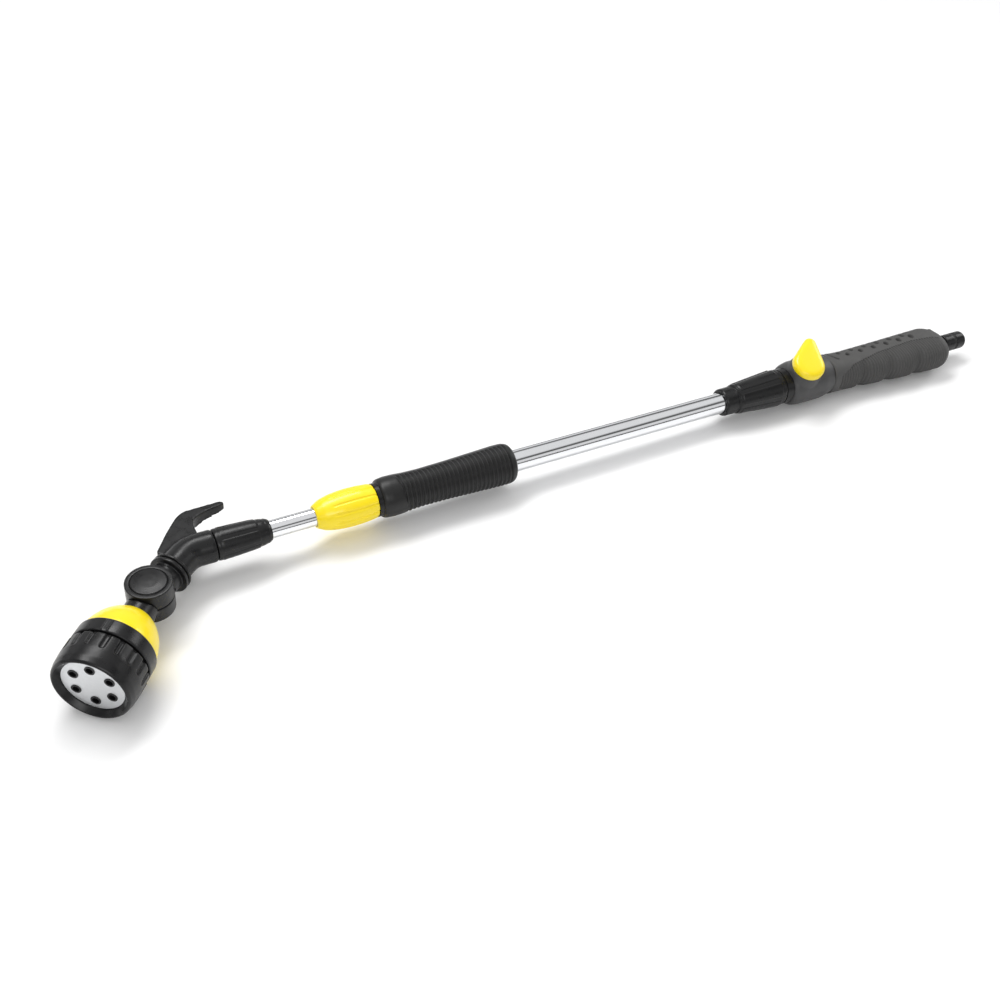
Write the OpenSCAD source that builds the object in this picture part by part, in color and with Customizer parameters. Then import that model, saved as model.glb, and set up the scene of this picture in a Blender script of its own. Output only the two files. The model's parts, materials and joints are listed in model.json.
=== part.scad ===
// Telescopic watering wand with a tilting multi-pattern spray head.
// The wand lies along X: hose plug at +X, spray head at -X, flow knob on top (+Z).
// Stations are distances along the tubes' axis, from a point above the knuckle towards the plug.

/* [Tubes] */
// Outside diameter of the outer tube
outer_tube_d = 17; // [16:0.5:17.5]
// Outside diameter of the inner tube
inner_tube_d = 13.2; // [12.6:0.1:13.4]
// Wall thickness of both tubes
tube_wall = 1; // [0.8:0.1:1]

/* [Handle] */
// Thickness of the grip, across the finger line
grip_t = 32; // [30:1:34]
// Radius of the rounding along the grip's edges
grip_edge_r = 11; // [9:0.5:12]
// Radius of the valve housing
housing_r = 18.5; // [17.5:0.5:19]
// Height of the knob over the housing boss
knob_h = 9; // [8:0.5:11]
// How far the plug's axis sits towards the fingers
plug_drop = 4.5; // [3:0.5:5]

/* [Head] */
// Angle of the elbow's arm from the tubes' axis
elbow_angle = 40; // [35:1:42]
// Length of the elbow's arm, from its corner to the knuckle's axis
arm_length = 43.6; // [43:0.2:46]
// Angle of the head from the tubes' axis, as stored
head_angle = 48.8; // [40:0.2:55]
// Radius of the two knuckle discs
knuckle_r = 15; // [14.5:0.5:15.5]
// Largest radius of the bezel
bezel_r = 26.5; // [26:0.5:28]
// Distance from the knuckle's axis to the bezel's front lip
head_reach = 81; // [80:0.5:84]
// Number of grip scallops round the bezel
scallop_n = 18; // [16:1:22]

/* [Hidden] */
$fn = 96;

// fits
run = 0.05;     // radial clearance of a running fit
gap = 0.3;      // clearance between pieces that move past each other
bore_r = 4.5;   // water way
rubber = [0.12, 0.12, 0.12];
black = [0.11, 0.11, 0.11];
grey = [0.3, 0.3, 0.3];
yellow = [0.97, 0.86, 0.05];
alloy = [0.85, 0.86, 0.88];

// radii of the tubes
outer_r = outer_tube_d / 2;
outer_in = outer_r - tube_wall;
inner_r = inner_tube_d / 2;
inner_in = inner_r - tube_wall;

// stations along the tubes' axis
elbow_x = 25;            // elbow corner
elbow_end = 42;          // end of the elbow's thick part
spigot_end = 58;         // end of the elbow's spigot
inner_x0 = 47;           // front end of the inner tube
front_end = 81;          // rear end of the front collar
sleeve_x0 = 113;         // clamp sleeve
sleeve_x1 = 157.7;
base_flange = 158;       // clamp base flange
mid_x0 = 161;            // grip on the tube
mid_x1 = 268;
collar_x0 = 463;         // rear collar nut
collar_x1 = 522;
ring_x1 = 529;           // end of the black ring
knob_x = 543;            // valve axis
valve_tilt = 20;         // its lean from upright, towards the fingers
grip_x0 = 572;           // handle
grip_x1 = 702;
plug_x1 = 729.4;         // end of the plug
tube_stop = 516;         // where the outer tube ends in the housing
inner_x1 = 476;          // rear end of the inner tube, well inside the outer tube

// knuckle and head
knuckle = [elbow_x - arm_length * cos(elbow_angle), -arm_length * sin(elbow_angle)];
knuckle_top = 12.4;      // upper disc
knuckle_base = -10;      // lower disc
flange_s = 22;           // distance of both neck joints from the knuckle's axis
collar_s = 46;           // head collar, measured along the head's axis from the knuckle
bezel_s = 57.5;          // bezel
plate_s = 75;            // back of the spray plate
plate_t = 2;             // thickness of the spray plate
plate_r = 20;            // radius of the spray plate
nozzle_n = 6;            // spray inserts
nozzle_ring_r = 13.2;    // circle that they stand on
nozzle_r = 3.3;          // radius of one
axle_r = 4;              // axle that the selector turns on

// the whole object's box, which puts the origin at the middle of its base
dir_x = cos(head_angle);
dir_y = sin(head_angle);
lip_r = bezel_r - 1.3;   // radius of the bezel's front edge, 1 mm behind its lip
lip_x = knuckle.x - (head_reach - 1) * dir_x - lip_r * dir_y;
lip_y = knuckle.y - (head_reach - 1) * dir_y - lip_r * dir_x;
hook_y = 38;             // outermost point of the hook
mid_x = (lip_x + plug_x1) / 2;
mid_y = (lip_y + hook_y) / 2;

// puts a wand drawn on its own axis into the object's frame
module placed() {
    translate([-mid_x, -mid_y, bezel_r]) children();
}

// a shape drawn along Z, from height 0 up, laid along +X from station x
module along(x) {
    placed() translate([x, 0, 0]) rotate([0, 90, 0]) children();
}

// the same on the plug's axis
module along_plug(x) {
    placed() translate([x, -plug_drop, 0]) rotate([0, 90, 0]) children();
}

// the same along the valve's axis, which leans towards the fingers, from height z up
module along_valve(z) {
    placed() translate([knob_x, 0, 0]) rotate([valve_tilt, 0, 0]) translate([0, 0, z]) children();
}

// the same at the knuckle's axis, upwards from height z
module at_knuckle(z) {
    placed() translate([knuckle.x, knuckle.y, z]) children();
}

// the same from the knuckle along the elbow's arm, starting at distance s
module along_arm(s) {
    at_knuckle(0) rotate([0, 90, elbow_angle]) translate([0, 0, s]) children();
}

// the same from the knuckle along the spray head, starting at distance s
module along_head(s) {
    at_knuckle(0) rotate([0, 90, 180 + head_angle]) translate([0, 0, s]) children();
}

// a tube of length h
module tube(h, ro, ri) {
    difference() {
        cylinder(h = h, r = ro);
        translate([0, 0, -1]) cylinder(h = h + 2, r = ri);
    }
}

// an O-ring whose section has radius r, lying on the circle of radius ring_r
module o_ring(ring_r, r) {
    rotate_extrude() translate([ring_r, 0]) circle(r = r, $fn = 32);
}

// a disc with fully rounded edges, half_h up and down from z = 0
module rounded_disc(r, half_h, edge) {
    rotate_extrude() {
        square([r - edge, half_h]);
        translate([0, -half_h]) square([r - edge, half_h]);
        translate([0, edge - half_h]) square([r, 2 * (half_h - edge)]);
        intersection() {
            square([r, half_h]);
            translate([r - edge, half_h - edge]) circle(r = edge);
        }
        intersection() {
            translate([0, -half_h]) square([r, half_h]);
            translate([r - edge, edge - half_h]) circle(r = edge);
        }
    }
}

// a bar along X with a rectangular section and rounded edges
module rounded_bar(x0, x1, y0, y1, half_z, edge) {
    translate([x0, 0, 0]) rotate([90, 0, 90]) linear_extrude(x1 - x0) {
        translate([y0 + edge, -half_z]) square([y1 - y0 - 2 * edge, 2 * half_z]);
        translate([y0, edge - half_z]) square([y1 - y0, 2 * (half_z - edge)]);
        for (y = [y0 + edge, y1 - edge], z = [edge - half_z, half_z - edge]) {
            translate([y, z]) circle(r = edge);
        }
    }
}

// ---------- handle ----------

valve_r = 9;             // bore that the valve barrel turns in
valve_z0 = -12.5;        // bottom of that bore
bonnet_z = 13;           // bottom of the ring that keeps the barrel in
boss_z = 19.8;           // top of the boss under the knob
stem_r = 5;              // valve stem
pipe_x0 = 568.2;         // front end of the water pipe, in its socket in the housing
pipe_x1 = 684;           // rear end, at the plug's shank
pipe_r = 6;              // its outer radius

module valve_housing() {
    color(grey) difference() {
        union() {
            along(500) cylinder(h = 30, r = 11.5);
            along(ring_x1) rotate_extrude() {
                polygon([[0, 0], [15.5, 0], [17.4, 3], [housing_r, 9], [housing_r, 33], [16.5, 43],
                    [0, 43]]);
            }
            along_valve(0) cylinder(h = boss_z, r = 13.2);
        }
        along(499) cylinder(h = tube_stop - 499, r = outer_r + run);
        along(tube_stop - 1) cylinder(h = 60, r = bore_r);
        along_plug(pipe_x0 - 0.2) cylinder(h = 10, r = pipe_r + run);
        along_valve(valve_z0) cylinder(h = 40, r = valve_r);
        for (x = [knob_x - 11.5, knob_x + 9.5]) along(x) cylinder(h = 2, r = 6.5);
    }
}

module housing_ring() {
    color(black) along(collar_x1 + run) tube(ring_x1 - collar_x1 - 2 * run, 14.6, 11.5 + run);
}

// four finger bulges: [station, reach towards the fingers, radius, step down from the grip's face]
fingers = [[590, 17.6, 15, 0.8], [617, 20.5, 15, 0.5], [645, 23.3, 16, 0.7], [680, 25.2, 19, 0.4]];
palm_y = 14;             // palm side of the grip
core_y0 = -13;           // hard core's section
core_y1 = 9.5;
core_z = 11;

module core_bar(x0, x1) {
    rounded_bar(x0, x1, core_y0, core_y1, core_z, 6);
}

module grip_core() {
    color(black) difference() {
        placed() core_bar(grip_x0 + 0.5, grip_x1 - 3);
        along_plug(grip_x0 - 1) cylinder(h = 140, r = pipe_r + run);
    }
}

module grip_cover() {
    color(grey) difference() {
        placed() union() {
            rounded_bar(grip_x0, grip_x1 - 16, -palm_y, palm_y, grip_t / 2, grip_edge_r);
            for (f = fingers) {
                translate([f.x, f[2] - f.y, 0]) rounded_disc(f[2], grip_t / 2 - f[3], grip_edge_r - 1);
            }
            translate([grip_x1 - 17, -3, 0]) rounded_disc(16.8, grip_t / 2 - 0.2, grip_edge_r - 0.5);
        }
        placed() core_bar(grip_x0 - 1, grip_x1 - 3);
        along_plug(grip_x1 - 5) cylinder(h = 20, r = 6.1);
        along(grip_x0 - 20) cylinder(h = 20, r = 40);
    }
}

module water_pipe() {
    color(black) along_plug(pipe_x0) tube(pipe_x1 - pipe_x0, pipe_r, bore_r);
}

plug_r = 7.7;            // collar and head of the plug
groove_x = 716.5;        // seal groove
groove_w = 2;

module hose_plug() {
    color(black) along_plug(0) difference() {
        rotate_extrude() polygon([[0, grip_x1 - 16], [4.4, grip_x1 - 16], [4.4, grip_x1 - 9],
            [5.8, grip_x1 - 9], [5.8, 706], [plug_r - 0.8, 706], [plug_r, 706.8], [plug_r, groove_x],
            [5.9, groove_x], [5.9, groove_x + groove_w], [plug_r, groove_x + groove_w],
            [plug_r, 728], [plug_r - 1.4, plug_x1], [0, plug_x1]]);
        translate([0, 0, grip_x1 - 17]) cylinder(h = 60, r = 3.4);
        translate([0, 0, 722]) cylinder(h = 10, r = 5.2);
    }
}

module plug_o_ring() {
    color(rubber) along_plug(groove_x + groove_w / 2) o_ring(6.8, 0.85);
}

module inlet_filter() {
    color(alloy) along_plug(722.2) difference() {
        tube(4, 5.1, 0.6);
        translate([0, 0, 0.8]) cylinder(h = 5, r = 4.4);
        for (a = [0 : 45 : 359]) rotate(a) translate([2.7, 0, -1]) cylinder(h = 3, r = 0.8, $fn = 24);
    }
}

module valve_seats() {
    color(rubber) for (x = [knob_x - 11.4, knob_x + 9.6]) along(x) tube(1.8, 6.4, bore_r);
}

module bonnet_ring() {
    color(black) along_valve(bonnet_z) tube(boss_z - bonnet_z - 0.2, valve_r - run, stem_r + run);
}

module rear_collar() {
    color(black) along(0) difference() {
        rotate_extrude() polygon([[0, collar_x0], [10.6, collar_x0], [11.4, 464.5], [11.6, 475],
            [12.2, 476], [13.2, 490], [14.4, 505], [15.4, 516], [15.5, 520], [14.8, collar_x1],
            [0, collar_x1]]);
        translate([0, 0, collar_x0 - 1]) cylinder(h = 60, r = outer_r + run);
        translate([0, 0, 496]) cylinder(h = 40, r = 11.5 + run);
    }
}

module rear_gasket() {
    color(rubber) along(496.2) tube(3.6, 11.4, outer_r + run);
}

module outer_tube() {
    color(alloy) along(base_flange - 6) tube(tube_stop - base_flange + 5, outer_r, outer_in);
}

module mid_grip() {
    color(black) along(0) difference() {
        rotate_extrude() {
            polygon([[0, mid_x0], [12.8, mid_x0], [14.2, 163], [14.8, 168], [14.7, 174], [13.9, 184],
                [13.7, 195], [14.1, 215], [14.9, 238], [15.7, 256], [15.6, 263], [14.6, 266.5],
                [12.5, mid_x1], [0, mid_x1]]);
        }
        translate([0, 0, mid_x0 - 1]) cylinder(h = 120, r = outer_r + run);
    }
}

base_x0 = 122;           // front of the clamp base's threaded part

module clamp_base() {
    color(black) along(0) difference() {
        union() {
            translate([0, 0, base_x0]) cylinder(h = 36, r = 10);
            translate([0, 0, base_flange]) cylinder(h = mid_x0 - base_flange - run, r = 12.2);
        }
        translate([0, 0, base_x0 - 1]) cylinder(h = 60, r = inner_r + run);
        translate([0, 0, base_flange - 6 - run]) cylinder(h = 60, r = outer_r + run);
        translate([0, 0, base_x0 - 1]) cylinder(h = 15, r = 8.5);
    }
}

module collet() {
    color([0.8, 0.8, 0.78]) along(base_x0) difference() {
        tube(13.5, 8.45, inner_r + run);
        for (a = [0 : 60 : 179]) rotate(a) translate([-10, -0.5, -1]) cube([20, 1, 10]);
    }
}

// ---------- clamp sleeve ----------

module clamp_sleeve() {
    color(yellow) along(0) difference() {
        rotate_extrude() polygon([[0, sleeve_x0], [8, sleeve_x0], [8.9, 114.5], [11.2, 119],
            [12.4, 124], [13.3, 131], [13.7, 138], [13.4, 147], [12.7, 155], [12, sleeve_x1],
            [0, sleeve_x1]]);
        translate([0, 0, sleeve_x0 - 1]) cylinder(h = 60, r = inner_r + gap);
        translate([0, 0, base_x0 - 1.5]) cylinder(h = 60, r = 10 + run);
        for (a = [0 : 30 : 359]) rotate(a) translate([15.4, 0, 128]) cylinder(h = 40, r = 2.2);
    }
}

// ---------- flow valve ----------

knob_turn = 56;          // nose direction when the valve is half open
knob_z = boss_z + gap;
nose_reach = 21;           // distance of the nose's circle from the valve axis
nose_r = 5.4;
knob_r = 13.6;

// outline of a knob: two circles joined by their outer tangents
module teardrop(r0, r1, reach) {
    lean = acos((r0 - r1) / reach);
    circle(r = r0);
    translate([reach, 0]) circle(r = r1);
    polygon([r0 * [cos(lean), sin(lean)], [reach, 0] + r1 * [cos(lean), sin(lean)],
        [reach, 0] + r1 * [cos(lean), -sin(lean)], r0 * [cos(lean), -sin(lean)]]);
}

module flow_knob() {
    color(yellow) along_valve(knob_z) difference() {
        rotate(knob_turn) union() {
            linear_extrude(knob_h - 2.5) teardrop(knob_r, nose_r, nose_reach);
            linear_extrude(knob_h - 1) teardrop(knob_r - 1.2, nose_r - 1.2, nose_reach);
            linear_extrude(knob_h) teardrop(knob_r - 3, nose_r - 2.6, nose_reach);
        }
        translate([0, 0, -1]) cylinder(h = knob_h - 2, r = stem_r);
    }
}

module valve_barrel() {
    color(alloy) along_valve(0) difference() {
        union() {
            translate([0, 0, valve_z0 + 0.2]) cylinder(h = bonnet_z - valve_z0 - 0.4, r = valve_r - run);
            cylinder(h = knob_z + knob_h - 3.2, r = stem_r);
        }
        rotate([90, 0, 45]) translate([0, 0, -20]) cylinder(h = 40, r = bore_r - 0.5);
        translate([0, 0, 9.2]) tube(1.8, valve_r + 1, 7.6);
    }
}

module stem_o_ring() {
    color(rubber) along_valve(10.1) o_ring(8.25, 0.6);
}

// ---------- lance ----------

module inner_tube() {
    color(alloy) along(inner_x0) tube(inner_x1 - inner_x0, inner_r, inner_in);
}

bush_x0 = 462;           // guide bush on the inner tube's rear end
bush_r = outer_in - run;
seal_groove_x = [466, 472];

module guide_bush() {
    color([0.75, 0.75, 0.73]) along(0) difference() {
        translate([0, 0, bush_x0]) cylinder(h = inner_x1 - bush_x0, r = bush_r);
        translate([0, 0, bush_x0 - 1]) cylinder(h = 40, r = inner_r);
        for (x = seal_groove_x) translate([0, 0, x - 0.4]) tube(0.8, bush_r + 1, bush_r - 0.55);
    }
}

module guide_seals() {
    color(rubber) along(0) for (x = seal_groove_x) {
        translate([0, 0, x - 0.35]) tube(0.7, bush_r, bush_r - 0.5);
    }
}

module front_collar() {
    color(black) along(0) difference() {
        rotate_extrude() polygon([[0, elbow_end + 0.4], [10.9, elbow_end + 0.4], [11.4, 44],
            [11, 56], [10.4, 68], [9.6, 75], [8.4, 79], [7.4, front_end], [0, front_end]]);
        translate([0, 0, elbow_end - 1]) cylinder(h = 60, r = inner_r + run);
        translate([0, 0, elbow_end - 1]) cylinder(h = spigot_end + 4 - elbow_end, r = 8.6);
    }
}

module front_gasket() {
    color(rubber) along(spigot_end + 0.1) tube(2.7, 8.5, inner_r + run);
}

elbow_r = 11.2;          // elbow tube
arm_r = 11;              // the arm that leads to the knuckle
corner_r = 12;           // upright drum at the elbow's corner
corner_h = 23.4;
hook_t = 9;              // thickness of the hook at its root
tip_t = 5;               // and at its tip

// outline of the hook in plan, seen from above
module hook_outline() {
    polygon([[10, -2], [4.6, 3], [15.4, 18.3], [24, 29], [28, 33], [33, 35.6], [58, hook_y],
        [60.5, 37.2], [61, 35.2], [58, 33.9], [48, 31.4], [40, 28.2], [35.6, 24.4], [34.6, 19],
        [35, 8], [20, 7]]);
}

module elbow() {
    color(black) difference() {
        union() {
            along(elbow_x) cylinder(h = elbow_end - elbow_x, r = elbow_r);
            along(elbow_end - 1) cylinder(h = spigot_end - elbow_end + 1, r = 8.55);
            along_arm(flange_s + 1.2) cylinder(h = arm_length - flange_s - 1.2, r = arm_r);
            along_arm(flange_s + 1.2) cylinder(h = 2, r = 13.9);
            placed() translate([elbow_x, 0, -corner_h / 2]) cylinder(h = corner_h, r = corner_r);
        }
        along(elbow_x) cylinder(h = 60, r = bore_r);
        along(inner_x0 - 0.2) cylinder(h = 60, r = inner_r + run);
        along_arm(flange_s) cylinder(h = arm_length - flange_s, r = 4.2);
        along_arm(flange_s) translate([0, 0, -1]) cylinder(h = 5, r = 8.2);
        placed() translate([elbow_x, 0, -6]) cylinder(h = 12, r = 5.4);
    }
}

// hook that clips over the elbow
module hanging_hook() {
    color(black) difference() {
        placed() intersection() {
            translate([0, 0, -hook_t / 2]) linear_extrude(hook_t) hook_outline();
            rotate([90, 0, 0]) translate([0, 0, -60]) linear_extrude(80) {
                polygon([[-10, -hook_t / 2 - 1], [34, -hook_t / 2 - 0.2], [62, -tip_t / 2],
                    [62, tip_t / 2], [34, hook_t / 2 + 0.2], [-10, hook_t / 2 + 1]]);
            }
        }
        along(elbow_x) cylinder(h = 60, r = elbow_r + run);
        along_arm(0) cylinder(h = arm_length + 9, r = arm_r + run);
        placed() translate([elbow_x, 0, -corner_h]) cylinder(h = 2 * corner_h, r = corner_r + run);
    }
}

module flange_seal() {
    color(rubber) along_arm(flange_s + 0.1) tube(1, 12.4, 8.4);
}

disc_gap = 0.6;          // height of the gap between the discs
spigot_r = 8;            // hollow pivot of the upper disc

module knuckle_upper() {
    color(black) difference() {
        union() {
            at_knuckle(disc_gap) cylinder(h = knuckle_top - disc_gap, r = knuckle_r);
            at_knuckle(-4.8) cylinder(h = 8, r = spigot_r - run);
            difference() {
                along_arm(0) cylinder(h = flange_s - 2, r = 10.5);
                at_knuckle(disc_gap - 40) cylinder(h = 40, r = knuckle_r + 0.5);
                along_arm(-20) cylinder(h = 20, r = 40);
            }
            along_arm(flange_s - 2.4) cylinder(h = 2.4, r = 13.9);
            along_arm(flange_s - 1) cylinder(h = 4.8, r = 8.1);
        }
        along_arm(0) translate([-6, 0, 0]) cylinder(h = flange_s - 2, r = 3.4);
        along_arm(flange_s - 4) cylinder(h = 10, r = bore_r);
        at_knuckle(-6) cylinder(h = 14, r = 5);
        at_knuckle(knuckle_top - 1.6) cylinder(h = 4, r = 11.8);
        at_knuckle(-3.3) tube(1.4, spigot_r + 1, spigot_r - 1.2);
        at_knuckle(6) cylinder(h = 4, r = 2);
    }
}

module knuckle_seal() {
    color(rubber) at_knuckle(-2.6) o_ring(7.3, 0.5);
}

module pivot_screw() {
    color(alloy) at_knuckle(0) {
        translate([0, 0, knuckle_base + 0.3]) difference() {
            cylinder(h = 2.2, r = 3.9);
            translate([-3, -0.5, -1]) cube([6, 1, 2]);
        }
        translate([0, 0, knuckle_base + 1]) cylinder(h = 19, r = 1.95);
    }
}

module knuckle_cap() {
    color(black) at_knuckle(knuckle_top - 1.5) difference() {
        cylinder(h = 2.3, r = 11.7);
        translate([0, 0, 29.6]) sphere(r = 28.6);
    }
}

// ---------- spray head ----------

module knuckle_lower() {
    color(black) difference() {
        union() {
            at_knuckle(knuckle_base) cylinder(h = -knuckle_base, r = knuckle_r);
            difference() {
                along_head(0) cylinder(h = flange_s + 8, r = 10.5);
                at_knuckle(0) cylinder(h = 40, r = knuckle_r + 0.5);
            }
        }
        at_knuckle(-5.2) cylinder(h = 20, r = spigot_r);
        at_knuckle(knuckle_base - 1) cylinder(h = 40, r = 2);
        at_knuckle(knuckle_base - 1) cylinder(h = 3.8, r = 4.2);
        along_head(3) translate([2.4, 0, 0]) cylinder(h = 40, r = 2.4);
    }
}

bell_x0 = flange_s - 0.5;

module head_bell() {
    color(yellow) along_head(0) difference() {
        rotate_extrude() polygon([[0, bell_x0], [11.6, bell_x0], [13, 22.6], [16.2, 25.6], [19.2, 29.6],
            [21.6, 34], [23.4, 39], [24.4, 43], [24.8, collar_s], [0, collar_s]]);
        translate([0, 0, bell_x0 - 1]) cylinder(h = 20, r = 10.5 + run);
        rotate_extrude() polygon([[0, flange_s + 8], [17, flange_s + 8], [20.4, 35], [22.2, 40],
            [22.8, collar_s + 1], [0, collar_s + 1]]);
    }
}

module head_collar() {
    color(black) along_head(collar_s) {
        rotate_extrude() polygon([[22, 0], [25.4, 0], [25.9, 0.8], [26, 10.5], [22, 10.5]]);
        for (a = [-4, 4]) rotate(180 + a) translate([25.4, -0.45, 1]) cube([1, 0.9, 9]);
    }
}

clip_s = collar_s + 17;   // spring clip on the axle

module distributor() {
    color([0.75, 0.75, 0.73]) along_head(0) {
        difference() {
            union() {
                translate([0, 0, collar_s + 4]) cylinder(h = 6.4, r = 21.9);
                translate([0, 0, collar_s + 4]) cylinder(h = 15, r = axle_r - run);
            }
            translate([0, nozzle_ring_r, collar_s]) cylinder(h = 20, r = 2.8);
            translate([0, -nozzle_ring_r, collar_s + 7]) cylinder(h = 20, r = 1.7);
            translate([0, 0, clip_s - 0.1]) tube(1.2, axle_r + 1, axle_r - 0.8);
        }
    }
}

module port_gasket() {
    color(rubber) along_head(collar_s + 10.5) translate([0, nozzle_ring_r, 0]) tube(1, 3.6, 2.4);
}

module detent_spring() {
    color(alloy) along_head(collar_s + 7.05) translate([0, -nozzle_ring_r, 0]) {
        for (i = [0 : 2]) translate([0, 0, 0.3 + i * 0.5]) o_ring(1.2, 0.3);
    }
}

module detent_ball() {
    color(alloy) along_head(collar_s + 9.9) translate([0, -nozzle_ring_r, 0]) sphere(r = 1.5);
}

module axle_clip() {
    color(alloy) along_head(clip_s) difference() {
        tube(1, 6.2, axle_r - 0.7);
        translate([0, -2, -1]) cube([10, 4, 4]);
    }
}

// ---------- pattern selector ----------

disc_s = bezel_s + 0.5;  // back of the selector disc

module bezel() {
    lip = head_reach;
    color(black) along_head(0) difference() {
        rotate_extrude() polygon([[22, bezel_s], [25.6, bezel_s], [bezel_r, bezel_s + 1],
            [bezel_r, bezel_s + 12], [26, lip - 5], [lip_r, lip - 1], [24, lip], [23.2, lip],
            [20.2, plate_s + plate_t], [20.2, plate_s], [22, plate_s]]);
        for (i = [0 : scallop_n - 1]) rotate(i * 360 / scallop_n) {
            translate([29.3, 0, bezel_s - 1]) cylinder(h = 11, r = 3.9);
        }
    }
}

module spray_plate() {
    color(alloy) along_head(plate_s) difference() {
        cylinder(h = plate_t, r = plate_r);
        for (i = [0 : nozzle_n - 1]) rotate(i * 360 / nozzle_n) {
            translate([nozzle_ring_r, 0, -1]) cylinder(h = 5, r = nozzle_r);
        }
    }
}

module nozzle_inserts() {
    color(black) along_head(disc_s + 4) for (i = [0 : nozzle_n - 1]) rotate(i * 360 / nozzle_n) {
        translate([nozzle_ring_r, 0, 0]) difference() {
            cylinder(h = plate_s + plate_t + 0.4 - disc_s - 4, r = nozzle_r);
            translate([0, 0, -1]) cylinder(h = 30, r = 1.2);
            translate([0, 0, 8]) cylinder(h = 30, r = 2.3);
        }
    }
}

module selector_disc() {
    color(black) along_head(disc_s) difference() {
        cylinder(h = 4, r = 22);
        translate([0, 0, -1]) cylinder(h = 9, r = axle_r);
        for (i = [0 : nozzle_n - 1]) rotate(i * 360 / nozzle_n) {
            translate([nozzle_ring_r, 0, -1]) cylinder(h = 9, r = 1.4);
        }
    }
}

valve_housing();
housing_ring();
grip_core();
grip_cover();
water_pipe();
hose_plug();
plug_o_ring();
inlet_filter();
valve_seats();
bonnet_ring();
rear_collar();
rear_gasket();
outer_tube();
mid_grip();
clamp_base();
collet();
clamp_sleeve();
flow_knob();
valve_barrel();
stem_o_ring();
inner_tube();
guide_bush();
guide_seals();
front_collar();
front_gasket();
elbow();
hanging_hook();
flange_seal();
knuckle_upper();
knuckle_seal();
pivot_screw();
knuckle_cap();
knuckle_lower();
head_bell();
head_collar();
distributor();
port_gasket();
detent_spring();
detent_ball();
axle_clip();
bezel();
spray_plate();
nozzle_inserts();
selector_disc();
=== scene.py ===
import json
import math

import bmesh
import bpy
import numpy as np
from mathutils import Matrix, Vector


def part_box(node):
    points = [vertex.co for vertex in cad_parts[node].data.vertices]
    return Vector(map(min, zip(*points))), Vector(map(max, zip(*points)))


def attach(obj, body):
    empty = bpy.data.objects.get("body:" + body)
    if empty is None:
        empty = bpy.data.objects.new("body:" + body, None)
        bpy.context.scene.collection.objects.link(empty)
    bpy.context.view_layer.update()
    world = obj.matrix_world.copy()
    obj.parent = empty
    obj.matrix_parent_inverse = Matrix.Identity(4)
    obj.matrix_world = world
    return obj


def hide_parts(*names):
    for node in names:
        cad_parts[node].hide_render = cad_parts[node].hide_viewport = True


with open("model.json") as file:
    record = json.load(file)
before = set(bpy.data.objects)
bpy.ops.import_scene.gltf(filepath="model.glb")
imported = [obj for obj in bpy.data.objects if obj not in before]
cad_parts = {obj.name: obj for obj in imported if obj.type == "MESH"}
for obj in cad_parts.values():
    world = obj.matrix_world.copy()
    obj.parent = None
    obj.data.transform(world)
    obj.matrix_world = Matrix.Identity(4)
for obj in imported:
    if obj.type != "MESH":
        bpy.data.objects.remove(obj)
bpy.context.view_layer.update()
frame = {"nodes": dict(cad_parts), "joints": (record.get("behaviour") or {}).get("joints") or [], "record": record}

MM = 0.001

# ---------- places, from the frame ----------

joints = {j["name"]: j for j in frame["joints"]}
tube_low, tube_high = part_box("outer_tube")
AXIS_Y = (tube_low.y + tube_high.y) / 2
AXIS_Z = (tube_low.z + tube_high.z) / 2
KNUCKLE = Vector(joints["head_tilt"]["pos_m"])
HEAD_DIR = Vector(joints["pattern_turn"]["axis"]).normalized()
VALVE = Vector(joints["flow_turn"]["pos_m"])
VALVE_DIR = Vector(joints["flow_turn"]["axis"]).normalized()
VALVE_TILT = math.atan2(-VALVE_DIR.y, VALVE_DIR.z)
UP = Vector((0, 0, 1))


def on_tube(x):
    """Frame of a piece that starts at x on the tubes' axis: its own X runs along the axis."""
    return Matrix.Translation((x, AXIS_Y, AXIS_Z))


def on_head():
    """Frame at the knuckle whose X runs along the spray head's axis, with Z up."""
    side = UP.cross(HEAD_DIR)
    turn = Matrix((HEAD_DIR, side, UP)).transposed().to_4x4()
    return Matrix.Translation(KNUCKLE) @ turn


def start_of(node):
    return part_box(node)[0].x


# ---------- mesh helpers ----------

def smoothstep(low, high, value):
    t = np.clip((value - low) / (high - low), 0, 1)
    return t * t * (3 - 2 * t)


def window(low, high, soft, value):
    """1 between low and high, falling to 0 over soft on either side."""
    return smoothstep(low - soft, low, value) * (1 - smoothstep(high, high + soft, value))


def fillet(points, radius, steps=6):
    """The closed outline with each corner rounded."""
    rounded = []
    count = len(points)
    for i in range(count):
        before, corner, after = (np.array(points[(i + k) % count], float) for k in (-1, 0, 1))
        to_before, to_after = before - corner, after - corner
        len_before, len_after = np.linalg.norm(to_before), np.linalg.norm(to_after)
        to_before, to_after = to_before / len_before, to_after / len_after
        cut = min(radius, 0.45 * len_before, 0.45 * len_after)
        start, end = corner + to_before * cut, corner + to_after * cut
        for t in np.linspace(0, 1, steps):
            rounded.append((1 - t) ** 2 * start + 2 * t * (1 - t) * corner + t * t * end)
    return np.array(rounded)


def resample(points, step):
    """The closed outline with points at most step apart."""
    fine = []
    for a, b in zip(points, np.roll(points, -1, axis=0)):
        pieces = max(1, int(np.ceil(np.linalg.norm(b - a) / step)))
        for k in range(pieces):
            fine.append(a + (b - a) * k / pieces)
    return np.array(fine)


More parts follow.
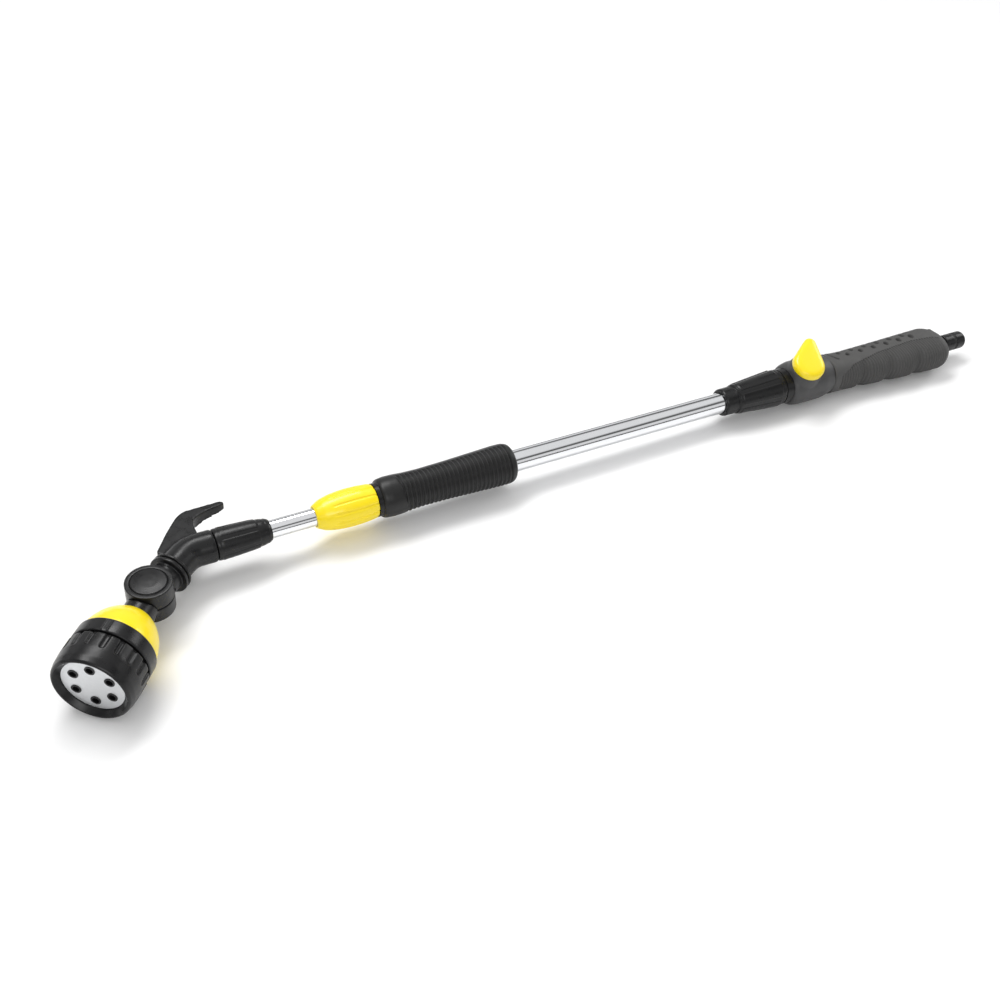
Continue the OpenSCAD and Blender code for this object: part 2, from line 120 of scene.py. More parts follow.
def grid_object(name, grid, matrix, close_rows=True):
    """A closed mesh from a grid of points in mm: columns wrap round, and rows wrap or end in poles."""
    rows, columns = grid.shape[:2]
    last = rows if close_rows else rows - 1
    faces = []
    for i in range(last):
        j = (i + 1) % rows
        for k in range(columns):
            n = (k + 1) % columns
            faces.append((i * columns + k, i * columns + n, j * columns + n, j * columns + k))
    mesh = bpy.data.meshes.new(name)
    mesh.from_pydata((grid.reshape(-1, 3) * MM).tolist(), [], faces)
    shape = bmesh.new()
    shape.from_mesh(mesh)
    bmesh.ops.remove_doubles(shape, verts=shape.verts, dist=1e-6)
    bmesh.ops.recalc_face_normals(shape, faces=shape.faces)
    for face in shape.faces:
        face.smooth = True
    shape.to_mesh(mesh)
    shape.free()
    mesh.transform(matrix)
    obj = bpy.data.objects.new(name, mesh)
    bpy.context.scene.collection.objects.link(obj)
    return obj


def lathe(name, outline, matrix, change=None, around=128, step=1.0, radius=0.5):
    """A solid of revolution about the matrix's X from a closed outline of (x, r) in mm."""
    points = resample(fillet(outline, radius), step)
    angle = np.linspace(0, 2 * math.pi, around, endpoint=False)
    x = np.repeat(points[:, :1], around, axis=1)
    r = np.repeat(points[:, 1:], around, axis=1)
    a = np.repeat(angle[None, :], len(points), axis=0)
    if change:
        r = change(x, r, a)
    grid = np.stack([x, r * np.cos(a), r * np.sin(a)], axis=2)
    return grid_object(name, grid, matrix)


def dress(obj, body, material, slot, *nodes):
    """Gives a new piece its material and its body, and hides the CAD nodes that it stands for. Its slot is not
    used.
    """
    obj.data.materials.clear()
    obj.data.materials.append(material)
    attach(obj, body)
    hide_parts(*nodes)
    return obj


# ---------- materials ----------

def material(name, colour, roughness, metallic=0.0, coat=0.0, specular=0.5):
    made = bpy.data.materials.new(name)
    made.use_nodes = True
    shader = made.node_tree.nodes["Principled BSDF"]
    shader.inputs["Base Color"].default_value = (*colour, 1)
    shader.inputs["Roughness"].default_value = roughness
    shader.inputs["Metallic"].default_value = metallic
    shader.inputs["Coat Weight"].default_value = coat
    shader.inputs["Coat Roughness"].default_value = 0.15
    shader.inputs["Specular IOR Level"].default_value = specular
    return made, shader


def add(tree, kind, **values):
    node = tree.nodes.new(kind)
    for key, value in values.items():
        node.inputs[key].default_value = value
    return node


def object_noise(made, scale, detail=4.0, stretch=(1, 1, 1)):
    """Noise that sticks to the object, in its own metres."""
    tree = made.node_tree
    place = tree.nodes.new("ShaderNodeTexCoord")
    mapping = tree.nodes.new("ShaderNodeMapping")
    mapping.inputs["Scale"].default_value = stretch
    noise = add(tree, "ShaderNodeTexNoise", Scale=scale, Detail=detail, Roughness=0.6)
    tree.links.new(place.outputs["Object"], mapping.inputs["Vector"])
    tree.links.new(mapping.outputs["Vector"], noise.inputs["Vector"])
    return noise.outputs["Fac"]


def vary(made, shader, socket, noise, low, high):
    """Lets a socket run from low to high with the noise. Colours are triples."""
    tree = made.node_tree
    if isinstance(low, tuple):
        mix = tree.nodes.new("ShaderNodeMix")
        mix.data_type = "RGBA"
        mix.inputs["A"].default_value = (*low, 1)
        mix.inputs["B"].default_value = (*high, 1)
        tree.links.new(noise, mix.inputs["Factor"])
        tree.links.new(mix.outputs["Result"], shader.inputs[socket])
        return
    spread = tree.nodes.new("ShaderNodeMapRange")
    spread.inputs["From Min"].default_value = 0.3
    spread.inputs["From Max"].default_value = 0.7
    spread.inputs["To Min"].default_value = low
    spread.inputs["To Max"].default_value = high
    tree.links.new(noise, spread.inputs["Value"])
    tree.links.new(spread.outputs["Result"], shader.inputs[socket])


def bump(made, shader, noise, strength, height_mm):
    tree = made.node_tree
    node = add(tree, "ShaderNodeBump", Strength=strength, Distance=height_mm * MM)
    tree.links.new(noise, node.inputs["Height"])
    tree.links.new(node.outputs["Normal"], shader.inputs["Normal"])


def moulded(name, colour, roughness, grain, height_mm, spread=0.12, coat=0.0, specular=0.5):
    """Moulded plastic or rubber: fine spark grain, slight mottling, uneven gloss."""
    made, shader = material(name, colour, roughness, coat=coat, specular=specular)
    cloud = object_noise(made, 45.0, 3.0)
    darker = tuple(c * (1 - spread) for c in colour)
    lighter = tuple(c * (1 + spread) for c in colour)
    vary(made, shader, "Base Color", cloud, darker, lighter)
    vary(made, shader, "Roughness", object_noise(made, 160.0, 5.0), roughness - 0.06, roughness + 0.06)
    bump(made, shader, object_noise(made, grain, 2.0), 0.5, height_mm)
    return made


def drawn_metal(name, colour, roughness, stretch, height_mm):
    """Metal with fine lines along one direction, from drawing or brushing."""
    made, shader = material(name, colour, roughness, metallic=1.0)
    lines = object_noise(made, 900.0, 3.0, stretch)
    vary(made, shader, "Roughness", lines, roughness * 0.8, roughness * 1.3)
    vary(made, shader, "Base Color", object_noise(made, 30.0), tuple(c * 0.95 for c in colour), colour)
    bump(made, shader, lines, 0.25, height_mm)
    return made


BLACK = moulded("black_moulded", (0.008, 0.008, 0.0085), 0.3, 1500.0, 0.03, specular=0.3)
HOUSING = moulded("housing_moulded", (0.055, 0.055, 0.056), 0.45, 1900.0, 0.05, specular=0.35)
GRIP = moulded("grip_soft_touch", (0.072, 0.071, 0.07), 0.6, 1700.0, 0.06, specular=0.3)
MID_GRIP = moulded("mid_grip_soft_touch", (0.009, 0.009, 0.009), 0.4, 1600.0, 0.04, specular=0.35)
YELLOW = moulded("yellow_moulded", (0.93, 0.72, 0.0), 0.33, 1300.0, 0.015, spread=0.04, coat=0.25)
PALE = moulded("natural_moulded", (0.7, 0.68, 0.62), 0.45, 1200.0, 0.02)
SEAL = moulded("seal_rubber", (0.012, 0.012, 0.012), 0.55, 1200.0, 0.02)
TUBE = drawn_metal("tube_polished", (0.86, 0.87, 0.89), 0.1, (0.02, 1, 1), 0.002)
PLATE = drawn_metal("plate_satin", (0.7, 0.71, 0.72), 0.42, (0.3, 1, 1), 0.006)
STEEL = drawn_metal("steel", (0.55, 0.55, 0.57), 0.3, (1, 1, 1), 0.004)

SLOT_LOOKS = {
    "black_plastic": BLACK, "housing_plastic": HOUSING, "grip_rubber": GRIP,
    "mid_grip_rubber": MID_GRIP, "yellow_plastic": YELLOW, "tube_aluminium": TUBE,
    "plate_metal": PLATE, "seal_rubber": SEAL, "natural_plastic": PALE, "steel": STEEL,
}


def dress_cad_nodes():
    """Every CAD node gets its slot's material; new pieces hide those that they replace."""
    for part in frame["record"]["subparts"]:
        data = frame["nodes"][part["node"]].data
        data.materials.clear()
        data.materials.append(SLOT_LOOKS[part["material_slot"]])


# ---------- handle ----------

GRIP_LENGTH = 130
ROUND_X = 112             # where the grip's rear end begins to round off
PLUG_HOLE_R = 6.4         # what the rear end narrows to, round the plug
FINGER_X = (18, 45, 73, 108)      # bulges, from the grip's front end
FINGER_REACH = (17.6, 20.5, 23.3, 25.2)
GROOVE_X = (31.5, 59, 90)
PALM_X = (0, 20, 60, 110, 130)
PALM_REACH = (14.6, 12.4, 12.8, 14, 13.6)
DIMPLE_ROWS = ((22, 92), (15, 75), (22, 58), (15, 41))   # first x, angle from the palm in degrees
DIMPLE_PITCH = 14.5
DIMPLE_R = (1.7, 2.7)     # at the front end and at the rear end


def finger_reach(x):
    """How far the grip reaches towards the fingers."""
    peak = np.interp(x, (0, *FINGER_X, GRIP_LENGTH), (16.2, *FINGER_REACH, 24))
    groove = sum(np.exp(-((x - g) / 4.6) ** 2) for g in GROOVE_X)
    return peak - 3.0 * groove


def rib_panel(x, a):
    """1 inside the ribbed finger panel, 0 outside. Its upper edge rises in one long curve."""
    upper = np.interp(x, (4, 20, 50, 90, 118), (160, 132, 116, 108, 118))
    degrees = np.degrees(a) % 360
    mirrored = np.where(degrees > 180, 360 - degrees, degrees)
    across = smoothstep(upper, upper + 4, mirrored)
    along = window(7, 118, 2, x)
    return across * along


def grip_ribs(x, a):
    """Fine ribs that arch round each finger bulge."""
    degrees = np.degrees(a) % 360
    lean = np.abs(np.where(degrees > 180, 360 - degrees, degrees) - 180) / 90
    wave = np.sin(2 * math.pi * (x + 6.0 * lean ** 2) / 2.7)
    return rib_panel(x, a) * (0.75 * wave - 0.7)


def grip_dimples(x, a):
    """Depth of the round dimples on the palm side, in staggered rows on both faces."""
    depth = np.zeros_like(x)
    degrees = np.degrees(a)
    off_palm = np.minimum(degrees, 360 - degrees)
    for first, row_degrees in DIMPLE_ROWS:
        for centre in np.arange(first, 100, DIMPLE_PITCH):
            size = np.interp(centre, (0, 100), DIMPLE_R)
            away = np.hypot(x - centre, np.radians(off_palm - row_degrees) * 15.0)
            depth = np.maximum(depth, 3.0 * (1 - smoothstep(size * 0.75, size + 0.25, away)))
    return depth


def grip_cover():
    """Soft grip: a loft along X whose sides follow the fingers and the palm, open for its core."""
    round_length = GRIP_LENGTH - ROUND_X
    along = np.concatenate([[0.0, 0.12, 0.4], np.arange(0.8, ROUND_X, 0.42),
                            ROUND_X + round_length * np.sin(np.linspace(0, math.pi / 2, 46)[:-2])])
    around = 360
    a = np.linspace(0, 2 * math.pi, around, endpoint=False)
    x, a = np.meshgrid(along, a, indexing="ij")
    cos, sin = np.cos(a), np.sin(a)
    half_y = np.where(cos > 0, np.interp(x, PALM_X, PALM_REACH), finger_reach(x))
    half_z = np.interp(x, (0, 12, 60, 110, 130), (16.0, 15.2, 15.6, 16.0, 15.6))
    power = 2.5
    r = (np.abs(cos / half_y) ** power + np.abs(sin / half_z) ** power) ** (-1 / power)
    end = np.sqrt(np.clip(1 - ((x - ROUND_X) / (round_length + 0.2)) ** 2, 0, 1))
    r = np.where(x > ROUND_X, PLUG_HOLE_R + (r - PLUG_HOLE_R) * end, r)
    r = r - 0.5 * (1 - smoothstep(0, 0.8, x))
    slot_line = 4.5 + 20.0 * (1 - np.cos(a - math.radians(62)))
    slot = window(slot_line - 1.0, slot_line + 1.0, 0.35, x)
    slot = slot * window(math.radians(22), math.radians(102), 0.05, a)
    r = r + grip_ribs(x, a) - 2.2 * slot
    r = r - grip_dimples(x, a)
    outer = np.stack([x, r * cos, r * sin], axis=2)
    inner = []
    core_low, core_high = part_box("grip_core")
    low_y, high_y = ((v - AXIS_Y) / MM for v in (core_low.y, core_high.y))
    half = (core_high.z - core_low.z) / 2 / MM
    for at in (along[-1], 127.2, 126.9, 0.0):
        thin = 126.9 < at
        wide_y = np.where(cos[0] > 0, high_y, -low_y) + 0.1
        size = (np.abs(cos[0] / wide_y) ** 6 + np.abs(sin[0] / (half + 0.1)) ** 6) ** (-1 / 6)
        size = np.full(around, 6.2) if thin else size
        inner.append(np.stack([np.full(around, at), size * cos[0], size * sin[0]], axis=1))
    plug_y = (sum(v.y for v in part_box("hose_plug")) / 2 - AXIS_Y) / MM
    shift = np.clip((outer[..., 0] - ROUND_X) / round_length, 0, 1)
    outer[..., 1] += plug_y * shift
    for ring in inner[:2]:
        ring[:, 1] += plug_y
    grid = np.concatenate([outer, np.array(inner)])
    obj = grid_object("grip_cover_moulded", grid, on_tube(start_of("grip_cover")))
    return dress(obj, "handle", GRIP, "grip_rubber", "grip_cover")


BOSS_TOP = 19.8           # heights over the tubes' axis, measured along the valve's axis
KNOB_BASE = 20.1


def valve_housing():
    """Housing round the valve: a turned body with a boss that rises to the knob."""
    start = start_of("valve_housing")
    front = (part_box("housing_ring")[1].x - start) / MM
    valve = (VALVE.x - start) / MM
    length = (start_of("grip_cover") - start) / MM
    top = BOSS_TOP
    bottom = (AXIS_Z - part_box("valve_housing")[0].z) / MM
    outline = [(0, 8.6), (0, 11.4), (front, 11.4), (front + 0.1, 15.4), (front + 3, 17.2),
               (front + 9, bottom - 0.1), (front + 32, bottom - 0.1), (length - 2, 16.5),
               (length, 15.9), (length, 8.6)]
    points = resample(fillet(outline, 2.2), 0.6)
    around = 320
    a = np.linspace(0, 2 * math.pi, around, endpoint=False)
    x = np.repeat(points[:, :1], around, axis=1)
    r = np.repeat(points[:, 1:], around, axis=1)
    y, z = r * np.cos(a), r * np.sin(a)
    away = np.hypot(x - valve, y)
    raised = (1 - smoothstep(13.0, 15.2, away)) * (z > 4) * (r > 12)
    z = z + raised * (top - z)
    lean = on_tube(start) @ Matrix.Rotation(VALVE_TILT, 4, "X")
    obj = grid_object("valve_housing_moulded", np.stack([x, y, z], axis=2), lean)
    return dress(obj, "handle", HOUSING, "housing_plastic", "valve_housing")


def teardrop(r0, r1, reach, inset, count=120):
    """Outline of two circles and their tangents, moved in by inset."""
    lean = math.acos((r0 - r1) / reach)
    big = np.linspace(lean, 2 * math.pi - lean, count * 2 // 3)
    small = np.linspace(-lean, lean, count // 3)
    a = np.stack([(r0 - inset) * np.cos(big), (r0 - inset) * np.sin(big)], axis=1)
    b = np.stack([reach + (r1 - inset) * np.cos(small), (r1 - inset) * np.sin(small)], axis=1)
    return np.concatenate([a, b])


KNOB_HEIGHT = 9.0
KNOB_R = 13.6
NOSE_R = 5.4
NOSE_REACH = 21           # from the valve's axis to the centre of the nose
KNOB_TURN = math.radians(56)


def flow_knob():
    """Knob: a teardrop with rounded edges whose crown rises towards the nose."""
    def crown_rise(x):
        """The share of its full height that the crown has at x: it climbs towards the nose."""
        return 0.78 + 0.22 * (x + KNOB_R) / (KNOB_R + NOSE_REACH + NOSE_R)

    rings = [(6.0, 0.0), (0.7, 0.0), (0.2, 0.25), (0.0, 0.9), (0.0, 4.4), (0.25, 5.9), (0.8, 7.0),
             (1.7, 7.9), (2.8, 8.5), (4.0, 8.8), (5.0, KNOB_HEIGHT)]
    grid = []
    for inset, z in rings:
        outline = teardrop(KNOB_R, NOSE_R, NOSE_REACH, min(inset, 5.0))
        grid.append(np.column_stack([outline, z * crown_rise(outline[:, 0])]))
    middle = np.array([8.0, 0.0])
    crown = grid[-1]
    for scale in (0.75, 0.5, 0.25, 0.0):
        flat = middle + (crown[:, :2] - middle) * scale
        rise = (1 + 0.02 * (1 - scale)) * crown_rise(flat[:, 0])
        grid.append(np.column_stack([flat, np.minimum(rise, 1) * KNOB_HEIGHT]))
    base = grid[0]
    closed = [np.column_stack([middle + (base[:, :2] - middle) * s, base[:, 2]]) for s in (0.0, 0.5)]
    grid = np.array(closed + grid)
    foot = Vector((VALVE.x, AXIS_Y, AXIS_Z)) + VALVE_DIR * KNOB_BASE * MM
    place = (Matrix.Translation(foot) @ Matrix.Rotation(VALVE_TILT, 4, "X")
             @ Matrix.Rotation(KNOB_TURN, 4, "Z"))
    obj = grid_object("flow_knob_moulded", grid, place, close_rows=False)
    return dress(obj, "valve", YELLOW, "yellow_plastic", "flow_knob")


def hose_plug():
    """Click-on plug with a collar, a seal groove and a rounded mouth."""
    low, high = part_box("hose_plug")
    centre = Matrix.Translation((high.x, (low.y + high.y) / 2, AXIS_Z))
    outline = [(-43.4, 3.4), (-43.4, 4.4), (-36.4, 4.4), (-36.4, 5.8), (-23.4, 5.8), (-23.2, 7.7),
               (-12.9, 7.7), (-12.7, 5.9), (-11.1, 5.9), (-10.9, 7.7), (-2.0, 7.7), (0, 6.2),
               (0, 5.2), (-7.4, 5.2), (-7.4, 3.4)]
    obj = lathe("hose_plug_moulded", outline, centre, around=96, radius=0.7)
    return dress(obj, "handle", BLACK, "black_plastic", "hose_plug")


def panels(count, first_x, last_x, height, share=0.72):
    """A change for lathe(): raised flat panels between two stations."""
    def change(x, r, a):
        phase = (a * count / (2 * math.pi)) % 1
        panel = window((1 - share) / 2, (1 + share) / 2, 0.02, phase) * window(first_x, last_x, 0.8, x)
        return np.where(r > 8.9, r + height * (panel - 0.5), r)
    return change


def rear_collar():
    """Collar nut at the housing, with a front band and raised panels."""
    start = start_of("rear_collar")
    outline = [(0, 8.6), (0, 10.6), (1.2, 11.4), (11, 11.5), (11.6, 11.0), (12.6, 11.0), (13.4, 12.2),
               (27, 13.2), (42, 14.4), (53, 15.2), (57, 15.2), (59, 14.5), (59, 11.6), (33, 11.6),
               (33, 8.6)]
    obj = lathe("rear_collar_moulded", outline, on_tube(start), panels(6, 16, 53, 0.5), 240, 0.6)
    return dress(obj, "handle", BLACK, "black_plastic", "rear_collar")


def front_collar():
    """Collar nut at the elbow, narrowing towards the inner tube."""
    start = start_of("front_collar")
    outline = [(0, 8.6), (0, 10.8), (1.4, 11.2), (13.6, 10.8), (25.6, 10.2), (32.6, 9.5), (36.4, 8.6),
               (38.6, 7.4), (38.6, 6.7), (19.6, 6.7), (19.6, 8.6)]
    obj = lathe("front_collar_moulded", outline, on_tube(start), panels(6, 4, 29, 0.35), 240, 0.6, 0.8)
    return dress(obj, "lance", BLACK, "black_plastic", "front_collar")


# ---------- grip on the tube and clamp sleeve ----------

def mid_grip():
    """Grip on the outer tube: ribs across the finger side, a smooth strip along the palm side."""
    start = start_of("mid_grip")
    outline = [(0, 8.6), (0, 12.8), (2, 14.1), (7, 14.7), (13, 14.6), (23, 13.9), (34, 13.6),
               (54, 14.0), (77, 14.8), (95, 15.5), (102, 15.4), (105.5, 14.4), (107, 12.5), (107, 8.6)]

    def ribs(x, r, a):
        degrees = np.degrees(a) % 360
        edge = 8 + 16 * (1 - np.abs(degrees - 205) / 150) ** 2
        across = window(75, 345, 5, degrees)
        panel = across * window(12 + edge * 0.3, 101, 1.2, x)
        wave = np.sin(2 * math.pi * x / 3.4)
        return np.where(r > 10, r + panel * (0.62 * np.sign(wave) * np.abs(wave) ** 0.6 - 0.7), r)

    obj = lathe("mid_grip_moulded", outline, on_tube(start), ribs, 240, 0.3, 1.5)
    return dress(obj, "handle", MID_GRIP, "mid_grip_rubber", "mid_grip")


def clamp_sleeve():
    """Yellow twist sleeve: a bulging barrel with shallow flutes."""
    start = start_of("clamp_sleeve")
    outline = [(0, 6.9), (0, 7.8), (1.2, 8.7), (6, 11.1), (11, 12.3), (18, 13.2), (25, 13.6), (34, 13.4),
               (42, 12.7), (44.7, 12.0), (44.7, 10.05), (7.5, 10.05), (7.5, 6.9)]

    def flutes(x, r, a):
        wave = smoothstep(0.55, 1.0, np.cos(a * 12))
        return np.where(r > 10.4, r - 0.55 * wave * window(15, 50, 5, x), r)

    obj = lathe("clamp_sleeve_moulded", outline, on_tube(start), flutes, 288, 0.8, 1.2)
    return dress(obj, "clamp", YELLOW, "yellow_plastic", "clamp_sleeve")


# ---------- elbow, hook and knuckle ----------

ELBOW_ANGLE = math.radians(40)
ARM_LENGTH = 43.6         # from the knuckle's axis to the elbow's corner
FLANGE_S = 23.2           # from the knuckle's axis to the elbow's flange
BEND_R = 18.0
CORNER_X = 25             # the elbow's corner, in the hook's outline
TUBE_LENGTH = 17          # from the corner to the collar nut
SPIGOT_LENGTH = 16
# the hook in plan; the elbow's corner is at (CORNER_X, 0)
HOOK_OUTLINE = ((10, -2), (4.6, 3), (15.4, 18.3), (24, 29), (28, 33), (33, 35.6), (58, 38),
                (60.5, 37.2), (61, 35.2), (58, 33.9), (48, 31.4), (40, 28.2), (35.6, 24.4),
                (34.6, 19), (35, 6), (20, 0))

def softened(name, meshes, voxel_mm, passes, body, look, slot, *nodes):
    """One moulding from closed meshes: joined, remeshed finely and relaxed, so edges are rounded."""
    joined = bmesh.new()
    for mesh in meshes:
        joined.from_mesh(mesh)
    mesh = bpy.data.meshes.new(name)
    joined.to_mesh(mesh)
    joined.free()
    obj = bpy.data.objects.new(name, mesh)
    bpy.context.scene.collection.objects.link(obj)
    remesh = obj.modifiers.new("remesh", "REMESH")
    remesh.mode = "VOXEL"
    remesh.voxel_size = voxel_mm * MM
    relax = obj.modifiers.new("relax", "SMOOTH")
    relax.factor = 0.5
    relax.iterations = passes
    graph = bpy.context.evaluated_depsgraph_get()
    done = bpy.data.meshes.new_from_object(obj.evaluated_get(graph))
    obj.modifiers.clear()
    obj.data = done
    done.name = name
    for face in done.polygons:
        face.use_smooth = True
    return dress(obj, body, look, slot, *nodes)


def taken_mesh(obj):
    """The mesh of an object that is only an ingredient; the object itself goes."""
    mesh = obj.data
    bpy.data.objects.remove(obj)
    return mesh


def elbow_bend():
    """The elbow from its flange round the bend to its spigot, as one swept shell."""
    cut = BEND_R * math.tan(ELBOW_ANGLE / 2)
    straight = ARM_LENGTH - FLANGE_S - cut
    bend = BEND_R * ELBOW_ANGLE
    end = straight + bend + TUBE_LENGTH - cut
    tip = end + SPIGOT_LENGTH
    outline = [(0, 8.4), (0, 13.9), (2, 13.9), (2.2, 11.0), (end - 2, 11.2), (end, 10.8), (end, 8.5),
               (tip, 8.5), (tip, 6.7), (end - 2, 6.7), (end - 2, 8.4)]
    points = resample(fillet(outline, 0.4), 0.8)
    a = np.linspace(0, 2 * math.pi, 128, endpoint=False)[None, :]
    t, r = points[:, :1], points[:, 1:]
    turned = np.clip((t - straight) / BEND_R, 0, ELBOW_ANGLE)
    heading = ELBOW_ANGLE - turned
    before = np.minimum(t, straight)
    after = np.maximum(t - straight - bend, 0)
    cos, sin = math.cos(ELBOW_ANGLE), math.sin(ELBOW_ANGLE)
    x = (FLANGE_S + before) * cos + BEND_R * (sin - np.sin(heading)) + after
    y = (FLANGE_S + before) * sin + BEND_R * (np.cos(heading) - cos)
    side = r * np.cos(a)
    grid = np.stack([x - side * np.sin(heading), y + side * np.cos(heading), r * np.sin(a)], axis=2)
    return grid_object("elbow_bend", grid, Matrix.Translation(KNUCKLE))


def hook_plate():
    """Hanging hook as a tapered plate with its root run into the elbow."""
    outline = resample(fillet(HOOK_OUTLINE, 2.5), 1.0)
    corner = KNUCKLE + Vector((ARM_LENGTH * math.cos(ELBOW_ANGLE), 0, 0)) * MM
    half = np.interp(outline[:, 0], (-10, 34, 62), (5.0, 4.6, 2.8))
    x, y = outline[:, 0] - CORNER_X, outline[:, 1]
    mesh = bmesh.new()
    lower = [mesh.verts.new((a * MM, b * MM, -h * MM)) for a, b, h in zip(x, y, half)]
    upper = [mesh.verts.new((a * MM, b * MM, h * MM)) for a, b, h in zip(x, y, half)]
    mesh.faces.new(lower[::-1])
    mesh.faces.new(upper)
    for i in range(len(lower)):
        j = (i + 1) % len(lower)
        mesh.faces.new((lower[i], lower[j], upper[j], upper[i]))
    bmesh.ops.triangulate(mesh, faces=mesh.faces)
    bmesh.ops.recalc_face_normals(mesh, faces=mesh.faces)
    data = bpy.data.meshes.new("hook_plate")
    mesh.to_mesh(data)
    mesh.free()
    data.transform(Matrix.Translation((corner.x, AXIS_Y, AXIS_Z)))
    return data


def knuckle_cap():
    """Cap with a soft edge and a slight dome."""
    low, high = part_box("knuckle_cap")
    place = Matrix.Translation((KNUCKLE.x, KNUCKLE.y, low.z)) @ Matrix.Rotation(-math.pi / 2, 4, "Y")
    height = (high.z - low.z) / MM
    outline = [(0, 0.0), (0, 11.6), (height - 1.0, 11.6), (height - 0.6, 11.0), (height - 0.5, 9.4),
               (height - 0.2, 6.0), (height, 0.0)]
    obj = lathe("knuckle_cap_moulded", outline, place, around=96, step=0.8, radius=0.4)
    return dress(obj, "lance", BLACK, "black_plastic", "knuckle_cap")


# ---------- spray head ----------

def head_bell():
    """Yellow bell between the knuckle's neck and the head collar."""
    outline = [(21.5, 10.6), (21.5, 11.5), (22.6, 12.9), (25.6, 16.1), (29.6, 19.1), (34, 21.5),
               (39, 23.3), (43, 24.3), (46, 24.7), (46, 22.8), (40, 22.2), (35, 20.4), (30, 17),
               (30, 10.6)]
    obj = lathe("head_bell_moulded", outline, on_head(), around=160, radius=1.2)
    return dress(obj, "head", YELLOW, "yellow_plastic", "head_bell")


def head_collar():
    """Black collar with two index ridges on top."""
    outline = [(46, 22), (46, 25.3), (46.8, 25.8), (55.6, 26.0), (56.4, 25.7), (56.4, 22)]

    def ridges(x, r, a):
        off = np.degrees(a) - 90
        ridge = np.exp(-((np.abs(off) - 4.2) / 0.9) ** 2)
        return np.where(r > 24, r + 0.45 * ridge * window(47.2, 55.4, 0.6, x), r)

    obj = lathe("head_collar_moulded", outline, on_head(), ridges, 480, 0.8, 0.4)
    return dress(obj, "head", BLACK, "black_plastic", "head_collar")


SCALLOPS = 18


def bezel():
    """Turning bezel: finger scallops behind, a plain band and a conical mouth in front."""
    outline = [(57.5, 22), (57.5, 25.4), (58.4, 26.3), (69, 26.4), (76, 25.9), (80, 25.0), (81, 24.0),
               (81, 23.2), (77.2, 20.3), (75, 20.2), (75, 22)]

    def scallops(x, r, a):
        wave = smoothstep(0.1, 0.95, np.cos(a * SCALLOPS))
        depth = 1.6 * wave * window(50, 67.5 - 1.5 * (1 - wave), 1.6, x)
        return np.where(r > 24.9, r - depth, r)

    obj = lathe("bezel_moulded", outline, on_head(), scallops, 432, 0.5, 0.8)
    return dress(obj, "selector", BLACK, "black_plastic", "bezel")


# ---------- studio ----------

LENS = 42.7
CAMERA_AZIMUTH = math.radians(-32.6)
CAMERA_ELEVATION = math.radians(40.87)
CAMERA_ROLL = math.radians(6.25)
CAMERA_DISTANCE = 0.8487


def camera():
    """The camera looks down on the wand from the head's end."""
    plug_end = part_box("hose_plug")[1].x
    aim = Vector((plug_end - 0.4887, AXIS_Y - 0.0348, AXIS_Z))
    back = Vector((math.sin(CAMERA_AZIMUTH) * math.cos(CAMERA_ELEVATION),
                   -math.cos(CAMERA_AZIMUTH) * math.cos(CAMERA_ELEVATION), math.sin(CAMERA_ELEVATION)))
    level = UP.cross(back).normalized()
    upright = back.cross(level)
    right = level * math.cos(CAMERA_ROLL) + upright * math.sin(CAMERA_ROLL)
    up = back.cross(right)
    data = bpy.data.cameras.new("camera")
    data.lens = LENS
    data.clip_start = 0.01
    eye = bpy.data.objects.new("camera", data)
    bpy.context.scene.collection.objects.link(eye)
    turn = Matrix((right, up, back)).transposed().to_4x4()
    eye.matrix_world = Matrix.Translation(aim + back * CAMERA_DISTANCE) @ turn
    bpy.context.scene.camera = eye


def area_light(name, place, target, size, power):
    data = bpy.data.lights.new(name, "AREA")
    data.shape = "RECTANGLE"
    data.size, data.size_y = size
    data.energy = power
    lamp = bpy.data.objects.new(name, data)
    bpy.context.scene.collection.objects.link(lamp)
    lamp.location = place
    lamp.rotation_euler = (Vector(target) - Vector(place)).to_track_quat("-Z", "Y").to_euler()


HEAD_TOUCH = 0.03         # from the bezel's front to where it touches the floor
SKY_STRENGTH = 0.8
SKY_BANDS = ((0.0, 0.04), (0.1, 0.06), (0.2, 0.9), (0.45, 1.0), (0.56, 0.12), (0.66, 0.12),
             (0.76, 1.0), (1.0, 1.0))   # height on the sky, brightness: dark bands line the tubes


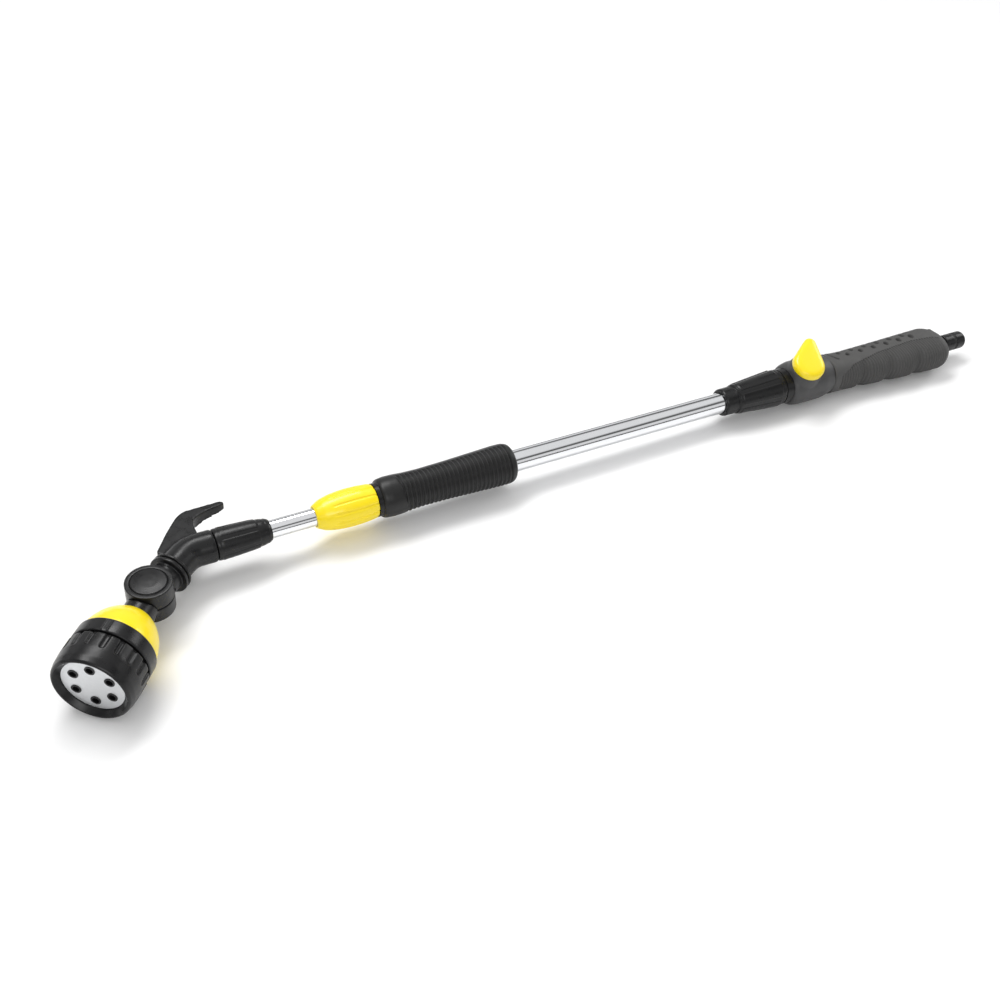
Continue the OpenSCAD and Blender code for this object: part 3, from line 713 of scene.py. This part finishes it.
def studio():
    """A pale floor that touches the head and the housing, soft lights and a sky with dark bands."""
    head_low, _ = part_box("bezel")
    house_low, house_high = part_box("valve_housing")
    run = (house_low.x + house_high.x) / 2 - head_low.x
    tilt = math.atan2(house_low.z - head_low.z, run)
    bpy.ops.mesh.primitive_plane_add(size=16)
    floor = bpy.context.object
    floor.name = "floor"
    floor.matrix_world = (Matrix.Translation((head_low.x + HEAD_TOUCH, 0, head_low.z))
                          @ Matrix.Rotation(-tilt, 4, "Y"))
    pale, shader = material("floor_pale", (0.9, 0.9, 0.9), 0.75, specular=0.2)
    vary(pale, shader, "Roughness", object_noise(pale, 3.0), 0.7, 0.8)
    floor.data.materials.append(pale)
    area_light("key", (-0.25, 0.75, 1.5), (0, 0, 0), (1.5, 0.5), 20)
    area_light("front", (-0.6, -1.4, 1.1), (0, 0, 0), (1.2, 0.4), 8)
    area_light("end", (1.6, 0.2, 0.9), (0.1, 0, 0), (0.6, 0.6), 5)
    world = bpy.data.worlds.new("sky")
    bpy.context.scene.world = world
    world.use_nodes = True
    tree = world.node_tree
    place = tree.nodes.new("ShaderNodeTexCoord")
    split = tree.nodes.new("ShaderNodeSeparateXYZ")
    ramp = tree.nodes.new("ShaderNodeValToRGB")
    tree.links.new(place.outputs["Generated"], split.inputs["Vector"])
    tree.links.new(split.outputs["Z"], ramp.inputs["Fac"])
    tree.links.new(ramp.outputs["Color"], tree.nodes["Background"].inputs["Color"])
    stops = ramp.color_ramp.elements
    stops[1].position = 1.0
    for level, _ in SKY_BANDS[1:-1]:
        stops.new(level)
    for stop, (level, grey) in zip(stops, SKY_BANDS):
        stop.position = level
        stop.color = (grey, grey, grey, 1)
    tree.nodes["Background"].inputs["Strength"].default_value = SKY_STRENGTH
    bpy.context.scene.view_settings.view_transform = "Standard"


camera()
dress_cad_nodes()
grip_cover()
valve_housing()
flow_knob()
hose_plug()
rear_collar()
mid_grip()
clamp_sleeve()
front_collar()
softened("elbow_moulded", (taken_mesh(elbow_bend()), hook_plate()), 0.5, 5, "lance", BLACK,
         "black_plastic", "elbow", "hanging_hook")
for node, body in (("knuckle_upper", "lance"), ("knuckle_lower", "head")):
    softened(node + "_moulded", (frame["nodes"][node].data,), 0.45, 4, body, BLACK, "black_plastic", node)
knuckle_cap()
head_bell()
head_collar()
bezel()
studio()
